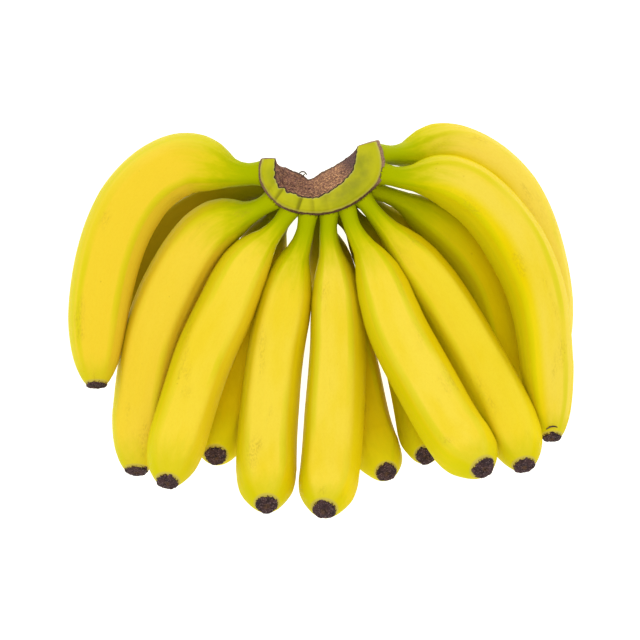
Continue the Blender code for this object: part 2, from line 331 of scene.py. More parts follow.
# How each finger's peel looks, where it isn't as plain as this.
# green: how far the green runs down from the crown. tip_green: how far it runs back from the tip.
# olive_and_shade: how olive and dull the whole peel is, partly the finger's own tone and, on the fingers
# that lie under the others, painted shade. warm: how warm its yellow is.
# pale: how strong the painted sheen is, a creamy pale face that is a painted reflection of the bright
# surroundings. sheen_side: where round the finger that face is, in degrees: 90 is the top, and 0 the side
# to the left of a finger that points down the picture.
# sheen_to: the share of the length at which the pale face ends.
# painted_shade: how far from the crown the upper skin of a lower finger is painted dull brown, a painted
# shade for the shadow of the fingers above.
PLAIN_LOOK = {"olive_and_shade": 0.0, "warm": 0.0, "pale": 0.0, "sheen_side": 90, "sheen_to": 1.2, "painted_shade": 0}
LOOKS = {
    "banana_01": {
        "green": 29, "tip_green": 14, "warm": 1.0, "pale": 0.9, "sheen_side": 18, "sheen_to": 0.42,
    },
    "banana_02": {"green": 32, "tip_green": 18, "warm": 0.9, "pale": 0.35},
    "banana_03": {"green": 20, "tip_green": 24, "warm": 0.35, "pale": 0.5},
    "banana_04": {"green": 28, "tip_green": 14, "pale": 0.75},
    "banana_05": {"green": 22, "tip_green": 10, "pale": 0.8},
    "banana_06": {"green": 27, "tip_green": 12, "pale": 0.8},
    "banana_07": {"green": 24, "tip_green": 14, "olive_and_shade": 0.04, "pale": 0.4},
    "banana_08": {"green": 46, "tip_green": 20, "olive_and_shade": 0.3},
    "banana_09": {"green": 27, "tip_green": 14, "olive_and_shade": 0.06, "pale": 1.0, "sheen_side": 118},
    "banana_10": {"green": 34, "tip_green": 14, "pale": 1.25, "sheen_side": 122},
    "banana_11": {"green": 30, "tip_green": 20, "olive_and_shade": 0.6, "warm": 0.8, "painted_shade": 150},
    "banana_12": {"green": 16, "tip_green": 30, "painted_shade": 56},
    "banana_13": {"green": 16, "tip_green": 30, "painted_shade": 56},
    "banana_14": {"green": 16, "tip_green": 30, "painted_shade": 56},
    "banana_15": {"green": 20, "tip_green": 24, "olive_and_shade": 0.1, "painted_shade": 56},
}

# A finger's finer form: points round a ring, and the distance between rings
SIDES = 72
RING_STEP = 1.7
ROOT_RINGS = 10
FIRST_RING = 8.0
TIP_STEPS = [
    26.0, 24.4, 22.8, 21.2, 19.6, 18.0, 16.4, 14.8, 13.2, 11.6, 10.2, 8.9, 7.7, 6.6, 5.6, 4.7, 3.9, 3.2,
]
# The ridges: how crisp their crests are, the length over which they fade at the tip, and how they
# wander round the finger
RIDGE_CRISPNESS = (0.016, 0.013, 0.006)
RIDGE_FADE = 16.0
RIDGE_TWIST = math.radians(5.0)
TWIST_WAVE = 2.4
TWIST_GROWTH = 3.0
# The body's slow swelling and thinning: how much, how long its wave is, and where it sets in
SWAY = 0.012
SWAY_WAVE = 17.0
SWAY_OFFSET = 1.7
SWAY_START = 40.0
# How far the pedicel's foot spreads against the crown
FLARE = 1.1

# Colour zones on the peel, as cosines or sines of the angle round the finger and how softly they end: the
# painted sheen's face, the lime flank and the painted shade on the upper skin
SHEEN_EDGE = 0.62
SHEEN_SOFT = 0.24
SHEEN_FADE = 0.2
LIME_EDGE = 0.5
LIME_SOFT = 0.4
PAINTED_SHADE_EDGE = -0.25
PAINTED_SHADE_SOFT = 0.4
# Length over which the painted shade on a lower finger's upper skin fades out
PAINTED_SHADE_FADE = 45.0
RIM_LENGTH = 3.0
# Length of the dark foot of each finger against the crown, a painted shade of the crevice there
ROOT_LENGTH = 7.0
# A distance in the zones' own units that is well clear of them
FAR = 9.0
# How far apart the fingers' skins lie in the pattern that colours them
SKIN_STEP = 400.0

# The dried blossom end: a dark button in a thin collar of peel. Its profile is pairs of share of its
# radius and height above the end of the peel.
COLLAR = [(1.0, 0.5), (0.98, 0.8), (0.94, 0.95), (0.88, 0.8), (0.8, 0.3), (0.6, 0.0)]
BUTTON_PROFILE = [
    (1.0, -0.8), (1.0, 0.8), (0.985, 1.3), (0.95, 1.75), (0.9, 2.0), (0.82, 2.15), (0.74, 2.2), (0.66, 2.2),
    (0.58, 2.25), (0.5, 2.4), (0.42, 2.55), (0.34, 2.5), (0.26, 2.2), (0.18, 1.8), (0.1, 1.5),
]
BUTTON_RADIUS = 0.95
BUTTON_PETALS = 5
BUTTON_RELIEF = 0.2
# Unevenness of the collar's and the button's outline and relief: waves round the rim, and their size
COLLAR_WAVES = ((4, 0.015), (7, 0.015), (12, 0.008))
BUTTON_WAVES = ((3, 0.05), (5, 0.035), (8, 0.025), (13, 0.02), (21, 0.012))
CRUMB_WAVES = ((9, 0.1), (14, 0.08), (23, 0.06))

# The share of the light that the colours give back, and the light itself
SURFACE_SHARE = 0.92
AMBIENT_LIGHT = 0.92
TABLE_GLOW = 0.85
LIGHT_TARGET = (0.0, 0.0, 0.03)


def spline(points, count):
    """A natural cubic spline through the points, as evenly spaced samples."""
    pts = np.array(points, dtype=float)
    chord = along(pts)
    step = np.diff(chord)
    last = len(pts) - 1
    matrix = np.eye(last + 1)
    rhs = np.zeros_like(pts)
    for i in range(1, last):
        matrix[i, i - 1] = step[i - 1]
        matrix[i, i] = 2.0 * (step[i - 1] + step[i])
        matrix[i, i + 1] = step[i]
        rhs[i] = 6.0 * ((pts[i + 1] - pts[i]) / step[i] - (pts[i] - pts[i - 1]) / step[i - 1])
    bend = np.linalg.solve(matrix, rhs)
    where = np.linspace(0.0, chord[-1], count)
    i = np.clip(np.searchsorted(chord, where, side="right") - 1, 0, last - 1)
    a = ((chord[i + 1] - where) / step[i])[:, None]
    b = 1.0 - a
    curve = (a ** 3 - a) * bend[i] + (b ** 3 - b) * bend[i + 1]
    return a * pts[i] + b * pts[i + 1] + curve * (step[i] ** 2)[:, None] / 6.0


def along(samples):
    """Distance along a sampled line."""
    return np.concatenate([[0.0], np.cumsum(np.linalg.norm(np.diff(samples, axis=0), axis=1))])


def at(distance, dist, values):
    """Rows of values at distances along a line."""
    return np.column_stack([np.interp(distance, dist, column) for column in values.T])


def unit(vectors):
    """The same vectors at length one."""
    return vectors / np.linalg.norm(vectors, axis=-1, keepdims=True)


def smooth(x):
    """A soft step from 0 to 1."""
    x = np.clip(x, 0.0, 1.0)
    return x * x * (3.0 - 2.0 * x)


def finger_line(spec):
    """The centre line of one finger in space, finely sampled."""
    plan = spline(spec["path"], LINE_SAMPLES)
    dist = along(plan)
    share = dist / dist[-1]
    root, low, tip = spec["heights"]
    where = spec["lowest_at"]
    before = np.clip((where - share) / where, 0.0, 1.0)
    after = np.clip((share - where) / (1.0 - where), 0.0, 1.0)
    height = low + (root - low) * before ** spec["drop"] + (tip - low) * after ** LIFT_POWER
    curl = np.clip(1.0 - (dist[-1] - dist) / TURN_UP_LENGTH, 0.0, 1.0)
    height = height + spec["turn_up"] * curl ** 2
    return np.column_stack([plan, height])


def finger_radius(spec, s, length):
    """The radius of a finger at distances s from the crown, the button left out."""
    pedicel, body, tip = spec["radii"]
    swell_at = [p[0] for p in SWELL]
    swell = np.interp(s / spec["neck"], swell_at, [p[1] for p in SWELL])
    radius = pedicel + (body - pedicel) * swell
    late = np.clip((s / length - THIN_START) / THIN_SPAN, 0.0, 1.0)
    radius = radius * (1.0 - (1.0 - spec["thin"]) * late)
    back = np.clip((length - s - STUB_LENGTH) / spec["taper"], 0.0, 1.0)
    rounded = tip + (radius - tip) * (1.0 - (1.0 - back) ** TIP_ROUNDING) ** TIP_BLUNTNESS
    return np.where(back < 1.0, rounded, radius)


def carried_ups(tangent):
    """An up direction carried along a line without twisting."""
    ups = [np.array([0.0, 0.0, 1.0])]
    for t in tangent[1:]:
        carried = ups[-1] - t * np.dot(ups[-1], t)
        ups.append(carried / np.linalg.norm(carried))
    return np.array(ups)


def wall_distance(points, wall):
    """Distance in plan from points to the crown's wall."""
    start = wall[:-1][None]
    leg = (wall[1:] - wall[:-1])[None]
    plan = points[:, None, :2]
    t = np.clip(np.sum((plan - start) * leg, axis=2) / np.sum(leg * leg, axis=2), 0.0, 1.0)
    return np.min(np.linalg.norm(start + leg * t[..., None] - plan, axis=2), axis=1)


def meet_wall(points, back, wall):
    """Slide points back along the pedicel until they touch the crown."""
    here = points.copy()
    travelled = np.zeros(len(here))
    for _ in range(SLIDE_STEPS):
        step = np.where(travelled < SLIDE_LIMIT, wall_distance(here, wall) * SLIDE_SHARE, 0.0)
        here = here + back * step[:, None]
        travelled = travelled + step
    return here


def finger_stations(length):
    """Distances from the crown at which the fine finger gets a ring of points."""
    end = length - TIP_STEPS[0]
    count = max(4, round((end - FIRST_RING) / RING_STEP))
    return np.concatenate([np.linspace(FIRST_RING, end, count)[:-1], length - np.array(TIP_STEPS)])


def finger_rings(spec, number, wall):
    """Rings of points down one finger's peel, and what the peel's material needs to know of them."""
    line = finger_line(spec)
    dist = along(line)
    length = dist[-1]
    tangent = unit(np.gradient(line, dist, axis=0))
    ups = carried_ups(tangent)
    s = finger_stations(length)
    centre = at(s, dist, line)
    forward = unit(at(s, dist, tangent))
    side = unit(np.cross(forward, at(s, dist, ups)))
    top = np.cross(side, forward)
    radius = finger_radius(spec, s, length)
    sway = 1.0 + SWAY * np.sin(s / SWAY_WAVE + number * SWAY_OFFSET) * smooth((s - SWAY_START) / SWAY_START)
    radius = radius * np.where(length - s > spec["taper"], sway, 1.0)
    ridges = RIDGE_DEPTH * np.minimum(1.0, s / RIDGE_START)
    fade = smooth((length - s - STUB_LENGTH) / RIDGE_FADE)
    tall = 1.0 + PEDICEL_TALLER * (1.0 - np.minimum(1.0, s / PEDICEL_LENGTH) ** 2)
    turn = (2.0 * math.pi * np.arange(SIDES) / SIDES)[None, :]
    twist = (RIDGE_TWIST * np.sin(s / length * TWIST_WAVE + number))[:, None]
    twist = twist * smooth(s / length * TWIST_GROWTH)[:, None]
    lobes = np.cos(RIDGE_COUNT * turn)
    crisp = sum(share * np.cos(k * RIDGE_COUNT * turn) for k, share in enumerate(RIDGE_CRISPNESS, 1))
    edge = crisp * np.minimum(1.0, s / RIDGE_START)[:, None]
    reach = radius[:, None] * (1.0 + (ridges[:, None] * lobes + edge) * fade[:, None])
    angle = RIDGE_TURN + turn + twist
    rings = (
        centre[:, None]
        + (reach * np.cos(angle))[..., None] * side[:, None]
        + (reach * np.sin(angle) * tall[:, None])[..., None] * top[:, None]
    )
    touching = meet_wall(rings[0], -tangent[0], wall)
    share = (np.arange(ROOT_RINGS) / ROOT_RINGS)[:, None, None]
    roots = touching[None] * (1.0 - share) + rings[0][None] * share
    outward = unit(rings[0] - centre[0])
    roots = roots + outward[None] * FLARE * (1.0 - share) ** 2
    s_all = np.concatenate([FIRST_RING * share[:, 0, 0], s])
    return {
        "rings": np.concatenate([roots, rings]),
        "s": s_all,
        "length": length,
        "lobes": lobes[0],
        "radius": np.concatenate([np.full(ROOT_RINGS, radius[0]), radius]),
        "end": centre[-1],
        "forward": forward[-1],
        "side": side[-1],
        "top": top[-1],
        "tip_radius": radius[-1],
    }


def grid_faces(rows, columns):
    """Quads between rows of points, each row a closed loop."""
    i, k = np.meshgrid(np.arange(rows - 1), np.arange(columns), indexing="ij")
    j = (k + 1) % columns
    low = i * columns
    high = low + columns
    return np.stack([low + k, low + j, high + j, high + k], axis=-1).reshape(-1, 4).tolist()


def fan_faces(row_start, columns, middle):
    """Triangles from one closed row of points to a middle point."""
    return [(row_start + k, row_start + (k + 1) % columns, middle) for k in range(columns)]


def make_piece(name, points, faces, material, values):
    """A smooth mesh piece of the hand, in place, with named values on its points for the material."""
    mesh = bpy.data.meshes.new(name)
    mesh.from_pydata([tuple(p) for p in (points + HAND_SHIFT) * MM], [], faces)
    mesh.materials.append(material)
    for key, data in values.items():
        data = np.asarray(data, dtype=np.float32)
        if data.ndim == 1:
            mesh.attributes.new(key, "FLOAT", "POINT").data.foreach_set("value", data)
        else:
            mesh.attributes.new(key, "FLOAT_VECTOR", "POINT").data.foreach_set("vector", data.ravel())
    mesh.shade_smooth()
    mesh.update()
    made = bpy.data.objects.new(name, mesh)
    bpy.context.scene.collection.objects.link(made)
    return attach(made, "root")


def ragged(angle, seed, *waves):
    """An uneven value round a rim: a sum of waves whose starts hang on the seed."""
    return sum(
        size * np.sin(count * angle + seed * (3.1 + 1.3 * i) + i)
        for i, (count, size) in enumerate(waves)
    )


def tip_ring(form, reach, height):
    """A ring of points about the blossom end, at a height above the end of the peel."""
    angle = RIDGE_TURN + 2.0 * math.pi * np.arange(SIDES) / SIDES
    return (
        form["end"]
        + (reach * np.cos(angle))[:, None] * form["side"]
        + (reach * np.sin(angle))[:, None] * form["top"]
        + np.broadcast_to(height, angle.shape)[:, None] * form["forward"]
    )


def button_points(form, number):
    """The dark dried button at the blossom end, in rings from its rim to its middle."""
    turn = 2.0 * math.pi * np.arange(SIDES) / SIDES
    rim = form["tip_radius"] * BUTTON_RADIUS
    uneven = ragged(turn, number, *BUTTON_WAVES)
    rings = []
    shares = []
    crests = []
    for share, height in BUTTON_PROFILE:
        free = smooth((1.0 - share) * 5.0)
        petals = np.cos((BUTTON_PETALS + number % 4) * turn + number + np.sin(turn * 2.0))
        petals = petals * math.sin(math.pi * share)
        crumbs = ragged(turn + 5.0 * share, number + 3.0 * share, *CRUMB_WAVES)
        relief = (BUTTON_RELIEF * petals + crumbs) * free
        rings.append(tip_ring(form, rim * share * (1.0 + uneven * share), height + relief))
        shares.append(np.full(SIDES, share))
        crests.append(petals)
    middle = form["end"] + form["forward"] * BUTTON_PROFILE[-1][1]
    points = np.concatenate(rings + [middle[None]])
    return points, np.concatenate(shares + [[0.0]]), np.concatenate(crests + [[0.0]])


def worn_patch(name, points):
    """How scuffed the peel is near the marks that the finger carries."""
    worn = np.zeros(len(points))
    for x, y, half_x, half_y in MARKS.get(name, []):
        worn += np.exp(-(((points[:, 0] - x) / half_x) ** 2) - ((points[:, 1] - y) / half_y) ** 2)
    return np.clip(worn, 0.0, 1.0)


def build_finger(name, number, spec, wall):
    """One finger as two pieces: its peel, which stands for the part's finger, and its dried button."""
    look = {**PLAIN_LOOK, **LOOKS[name]}
    form = finger_rings(spec, number, wall)
    turn = 2.0 * math.pi * np.arange(SIDES) / SIDES
    lip = []
    for share, out in COLLAR:
        uneven = ragged(turn, number + 0.4, *COLLAR_WAVES) * (1.0 if share < 1.0 else 0.0)
        lip.append(tip_ring(form, form["tip_radius"] * share * (1.0 + uneven), out))
    rings = np.concatenate([form["rings"], np.array(lip)])
    s = np.concatenate([form["s"], np.full(len(lip), form["length"] - STUB_LENGTH + 0.5)])
    radius = np.concatenate([form["radius"], np.full(len(lip), form["tip_radius"])])
    rows = len(rings)
    points = rings.reshape(-1, 3)
    inner = points[-SIDES:].mean(axis=0)
    root = points[:SIDES].mean(axis=0)
    points = np.concatenate([points, inner[None], root[None]])
    points[:, 2] = np.maximum(points[:, 2], TABLE_HEIGHT)
    faces = grid_faces(rows, SIDES)
    faces += fan_faces((rows - 1) * SIDES, SIDES, rows * SIDES)
    faces += [tuple(reversed(f)) for f in fan_faces(0, SIDES, rows * SIDES + 1)]
    s_points = np.repeat(s, SIDES)
    angle = np.tile(RIDGE_TURN + turn, rows)
    skin = np.column_stack([
        s_points + number * SKIN_STEP,
        np.cos(angle) * np.repeat(radius, SIDES),
        np.sin(angle) * np.repeat(radius, SIDES),
    ])
    lobes = np.tile(form["lobes"], rows)

    def padded(values, inner_value, root_value):
        return np.concatenate([values, [inner_value], [root_value]])

    back = form["length"] - STUB_LENGTH - s_points
    # Painted sheen: a pale creamy face on one side of the finger, a painted reflection of the bright
    # surroundings.
    sheen_face = smooth((np.cos(angle - math.radians(look["sheen_side"])) - SHEEN_EDGE) / SHEEN_SOFT)
    reach = smooth((look["sheen_to"] + SHEEN_FADE / 2.0 - s_points / form["length"]) / SHEEN_FADE)
    lime = smooth((np.cos(angle) - LIME_EDGE) / LIME_SOFT)
    # Painted shade: the upper skin of a lower finger is darkened near the crown, for the shadow of the
    # fingers above.
    painted_shade = smooth((look["painted_shade"] - s_points) / PAINTED_SHADE_FADE) * smooth((np.sin(angle) - PAINTED_SHADE_EDGE) / PAINTED_SHADE_SOFT)
    values = {
        "skin": np.concatenate([skin, [skin[-1]], [skin[0]]]),
        "neck_green": padded(s_points / look["green"], FAR, 0.0),
        "tip_green": padded(back / look["tip_green"], 0.0, FAR),
        "rim": padded(np.clip(1.0 - back / RIM_LENGTH, 0.0, 1.0), 1.0, 0.0),
        "ridge": padded(lobes, 0.0, 0.0),
        "olive_and_shade": np.full(len(points), look["olive_and_shade"]),
        "warm": np.full(len(points), look["warm"]),
        "worn": worn_patch(name, points),
        "lime": padded(lime, 0.0, 0.0),
        "painted_shade": padded(painted_shade, 0.0, painted_shade[0]),
        "painted_sheen": padded(look["pale"] * sheen_face * reach, 0.0, 0.0),
        "root": padded(np.clip(1.0 - s_points / ROOT_LENGTH, 0.0, 1.0), 0.0, 1.0),
    }
    peel = make_piece("peel_" + name[-2:], points, faces, PEEL, values)
    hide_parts(name)
    button, share, crest = button_points(form, number)
    count = len(BUTTON_PROFILE)
    faces = grid_faces(count, SIDES)
    faces += fan_faces((count - 1) * SIDES, SIDES, count * SIDES)
    button[:, 2] = np.maximum(button[:, 2], TABLE_HEIGHT)
    values = {"share": share, "crest": crest}
    dark = make_piece("blossom_end_" + name[-2:], button, faces, BUTTON, values)


# The crown's finer form, round a section: its outer wall, the scar line, the band on top, the cut face
# and the underside
WALL, SCAR, BAND, CUT, UNDER = range(5)
CROWN_ROWS = 220
CROWN_WALL_HEIGHTS = [36.0, 40.0, 46.0, 52.0, 58.0, 63.0, 67.0]
BAND_POINTS = 34
CUT_POINTS = 44
UNDER_POINTS = 10
FIRST_SHARE = 0.015
# The scar line's lip: height about the line, how far it stands out, and how strongly it shows
SCAR_LINE_HEIGHT = 70.4
SCAR_PROFILE = ((-1.2, 0.1, 0.6), (-0.6, 0.55, 1.0), (0.2, 0.75, 1.0), (0.9, 0.45, 1.0), (1.3, 0.0, 0.7))
# It widens into a ribbon towards the right horn
RIBBON_START = 0.72
RIBBON_SPAN = 0.1
RIBBON_WIDER = 1.2
# Heights across the band and down the cut face, by the share of the way
BAND_PROFILE = [
    (0.0, 71.6), (0.06, 73.4), (0.2, 75.6), (0.45, 76.9), (0.75, 77.0), (0.92, 76.5), (1.0, 75.6),
]
CUT_PROFILE = [(0.0, 75.6), (0.02, 74.6), (0.35, 62.0), (0.7, 49.0), (1.0, 35.0)]
CUT_RELIEF = 0.55
UNDER_HEIGHT = 33.4
UNDER_RISE = 2.2
# How far from a horn's end the section shrinks, and how far it shrinks
HORN_ROUNDING = 1.6
HORN_SHRINK = 0.14
# A distance from the cut that is well clear of it
CLEAR = 99.0
# Creases across the band: both ends in plan, depth and width
CREASES = [
    ((-22.6, 79.4), (-27.2, 72.9), 0.8, 0.55),
    ((-10.8, 74.6), (-13.4, 66.6), 1.0, 0.55),
    ((-4.2, 72.0), (-3.8, 66.4), 0.5, 0.9),
    ((3.2, 74.5), (5.0, 67.0), 0.35, 1.3),
    ((-25.8, 86.0), (-30.6, 80.0), 0.4, 1.2),
]
# How much wider a crease and its painted shade are on its left side
CREASE_SHADE = 3.6

# Dry strands: their paths, radius and finish
STRANDS = {
    "torn_fibre_1": (
        [(-13.5, 91.2, 37.5), (-11.6, 92.6, 38.5), (-9.6, 92.4, 39.0), (-8.2, 90.6, 38.0)],
        0.45, "crown_skin",
    ),
    "tip_strand": (
        [(138.4, -66.9, 69.2), (140.4, -65.5, 70.4), (142.8, -65.0, 70.6), (145.2, -65.6, 69.8)],
        0.45, "peel",
    ),
    "torn_fibre_2": (
        [(-10.8, 89.4, 37.0), (-9.8, 91.0, 38.2), (-8.9, 91.6, 38.6)],
        0.35, "crown_skin",
    ),
}
STRAND_RINGS = 16
STRAND_SIDES = 8
# Scuffed places: middle and half width in plan
MARKS = {
    "banana_04": [(-41.0, -81.0, 3.2, 8.5), (-37.0, -75.0, 2.0, 4.0)],
    "banana_05": [(25.5, -101.0, 2.2, 3.0), (-16.0, -106.0, 2.2, 2.4)],
    "banana_06": [(76.0, -72.0, 3.0, 2.2)],
    "banana_01": [(-137.5, -38.0, 2.2, 6.0)],
}
# Grey-green smudges on the band: place in plan and radius
SMUDGES = [(21.2, 86.0, 7.0), (14.0, 77.5, 6.5), (27.3, 97.6, 5.0), (5.4, 74.6, 4.5), (24.5, 91.5, 5.0)]


def crown_grid():
    """The crown's surface as a grid: stations from horn to horn, points round each section."""
    wall, cut_top, cut_bottom = [spline(p, CROWN_ROWS) for p in (CROWN_WALL, CUT_TOP, CUT_BOTTOM)]
    u = np.linspace(0.0, 1.0, CROWN_ROWS)
    wobble = 0.35 * np.sin(u * 61.0) + 0.3 * np.sin(u * 103.0 + 2.0) + 0.25 * np.sin(u * 171.0 + 1.0)
    left = smooth((0.5 - u) / 0.25) * smooth(u / 0.12)
    bite = left * (0.5 * np.sin(u * 83.0) + 0.3 * np.sin(u * 131.0 + 1.0))
    across = unit(cut_bottom - cut_top)
    cut_top = cut_top + across * (wobble * 0.5 + bite)[:, None]
    cut_bottom = cut_bottom + across * (wobble * 0.25)[:, None]
    sections = []
    out = unit(wall - cut_top)
    for z in CROWN_WALL_HEIGHTS:
        sections.append((wall, z, WALL, 0.0))
    scar = smooth((u - RIBBON_START) / RIBBON_SPAN)
    for lift, reach, size in SCAR_PROFILE:
        rough = 1.0 + 0.12 * np.sin(u * 120.0 + lift * 3.0) * scar
        lip = wall + out * (reach * (1.0 + RIBBON_WIDER * scar) * rough)[:, None]
        sections.append((lip, SCAR_LINE_HEIGHT + lift, SCAR, size))
    profile = np.array(BAND_PROFILE)
    width = np.linalg.norm(cut_top - wall, axis=1)
    for share in np.linspace(FIRST_SHARE, 1.0, BAND_POINTS):
        height = np.interp(share, profile[:, 0], profile[:, 1])
        sections.append((wall + (cut_top - wall) * share, height, BAND, share))
    profile = np.array(CUT_PROFILE)
    for share in np.linspace(FIRST_SHARE, 1.0, CUT_POINTS):
        height = np.interp(share, profile[:, 0], profile[:, 1])
        sections.append((cut_top + (cut_bottom - cut_top) * share, height, CUT, share))
    for share in np.linspace(0.04, 0.98, UNDER_POINTS):
        dip = UNDER_HEIGHT + UNDER_RISE * (2.0 * share - 1.0) ** 6
        sections.append((cut_bottom + (wall - cut_bottom) * share, dip, UNDER, share))
    count = len(sections)
    points = np.zeros((CROWN_ROWS, count, 3))
    region = np.zeros((CROWN_ROWS, count))
    way = np.zeros((CROWN_ROWS, count))
    for k, (plan, height, part, share) in enumerate(sections):
        points[:, k, :2] = plan
        points[:, k, 2] = height
        region[:, k] = part
        way[:, k] = share
    return points, region, way, width, u


def crown_relief(points, region, share):
    """Press the creases into the band, roughen the cut face, and measure smudges."""
    flat = points.reshape(-1, 3)
    kind = region.ravel()
    crease_depth = np.zeros(len(flat))
    for a, b, depth, half in CREASES:
        a = np.array(a)
        leg = np.array(b) - a
        t = np.clip(((flat[:, :2] - a) @ leg) / (leg @ leg), 0.0, 1.0)
        offset = flat[:, :2] - a - t[:, None] * leg
        away = np.linalg.norm(offset, axis=1)
        side = np.where(offset[:, 0] < 0.0, half * CREASE_SHADE, half)
        fold = np.exp(-((away / side) ** 2))
        crease_depth += depth * fold * (kind == BAND)
    flat[:, 2] -= crease_depth
    x, y, z = flat.T
    lumps = (
        0.55 * np.sin(x * 0.9 + z * 0.35) * np.sin(z * 0.8 + x * 0.2)
        + 0.35 * np.sin(x * 1.9 + z * 0.9 + 1.0)
        + 0.25 * np.sin(x * 3.1 - z * 1.7)
    )
    mouth = np.clip(share.ravel() / 0.08, 0.0, 1.0) * np.clip((1.0 - share.ravel()) / 0.7, 0.0, 1.0)
    rough = (kind == CUT) * mouth * lumps
    flat[:, 1] += rough * CUT_RELIEF
    dirt = np.zeros(len(flat))
    for sx, sy, radius in SMUDGES:
        dirt += np.exp(-(((x - sx) ** 2 + (y - sy) ** 2) / radius ** 2))
    return flat, crease_depth, np.clip(dirt, 0.0, 1.0)


def build_crown():
    """The crown: band, scar line, creases and the dry cut face, as one closed piece."""
    points, region, share, width, u = crown_grid()
    from_end = np.minimum(u, 1.0 - u) * along(spline(CROWN_WALL, CROWN_ROWS))[-1]
    near = np.clip(1.0 - from_end / HORN_ROUNDING, 0.0, 1.0)
    shrink = 1.0 - HORN_SHRINK + HORN_SHRINK * np.sqrt(1.0 - near ** 2)
    middles = points.mean(axis=1, keepdims=True)
    points = middles + (points - middles) * shrink[:, None, None]
    flat, crease_painted_shade, dirt = crown_relief(points, region, share)
    rows, columns = region.shape
    faces = grid_faces(rows, columns)
    ends = []
    for i, row in enumerate((0, rows - 1)):
        start = row * columns
        middle = flat[start:start + columns].mean(axis=0)
        ends.append(middle)
        fan = fan_faces(start, columns, rows * columns + i)
        faces += [tuple(reversed(f)) for f in fan] if i == 0 else fan
    kind = region.ravel()
    way = share.ravel()
    width_all = np.repeat(width, columns)
    from_scar = np.where(kind == BAND, way * width_all, 0.0)
    from_cut = np.where(kind == BAND, (1.0 - way) * width_all, np.where(kind == CUT, 0.0, CLEAR))
    cut_depth = np.where(kind == CUT, way, 0.0)
    near_scar = np.where(kind == BAND, np.clip(1.0 - from_scar / 0.9, 0.0, 1.0), 0.0)
    scar = np.where(kind == SCAR, way, near_scar)
    scar = np.maximum(scar, np.repeat(np.clip(1.6 - from_end / 0.8, 0.0, 1.0), columns))
    ribbon = np.repeat(smooth((u - 0.74) / 0.08), columns)

    def closed(values, end_value=0.0):
        return np.concatenate([values, [end_value, end_value]])

    values = {
        "cut": closed((kind == CUT).astype(float)),
        "cut_depth": closed(cut_depth),
        "scar": closed(scar, 1.0),
        "from_scar": closed(from_scar),
        "from_cut": closed(from_cut),
        "wall": closed((kind == WALL).astype(float)),
        "under": closed((kind == UNDER).astype(float)),
        "crease_painted_shade": closed(crease_painted_shade),
        "dirt": closed(dirt),
        "ribbon": closed(ribbon),
        "across": closed(np.repeat(u, columns)),
    }
    crown = make_piece("crown_skin_and_cut", np.concatenate([flat, ends]), faces, CROWN, values)
    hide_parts("crown")


def tube(path, radius):
    """A thin round strand along a path: its points and faces."""
    line = spline(path, STRAND_RINGS)
    tangent = unit(np.gradient(line, axis=0))
    side = unit(np.cross(tangent, np.array([0.3, 0.2, 1.0])))
    top = np.cross(side, tangent)
    turn = 2.0 * math.pi * np.arange(STRAND_SIDES) / STRAND_SIDES
    taper = 0.35 + 0.65 * np.sin(np.linspace(0.25, math.pi - 0.25, STRAND_RINGS))
    across = np.cos(turn)[None, :, None] * side[:, None] + np.sin(turn)[None, :, None] * top[:, None]
    rings = line[:, None] + across * (radius * taper)[:, None, None]
    points = np.concatenate([rings.reshape(-1, 3), line[:1], line[-1:]])
    faces = grid_faces(STRAND_RINGS, STRAND_SIDES)
    last = STRAND_RINGS * STRAND_SIDES
    faces += [tuple(reversed(f)) for f in fan_faces(0, STRAND_SIDES, last)]
    faces += fan_faces(last - STRAND_SIDES, STRAND_SIDES, last + 1)
    return points, faces


def build_strands():
    """The dry strands that stand off the fruit: torn fibres at the cut, and one at a blossom end."""
    for name, (path, radius, slot) in STRANDS.items():
        points, faces = tube(path, radius)
        values = {"share": np.ones(len(points)), "crest": np.zeros(len(points))}
        make_piece(name, points, faces, BUTTON, values)


def srgb(red, green, blue):
    """The share of light that a surface gives back, from its colour as it looks here, 0 to 255."""
    values = [c / 255.0 for c in (red, green, blue)]
    linear = [c / 12.92 if c <= 0.04045 else ((c + 0.055) / 1.055) ** 2.4 for c in values]
    return tuple(c * SURFACE_SHARE for c in linear) + (1.0,)


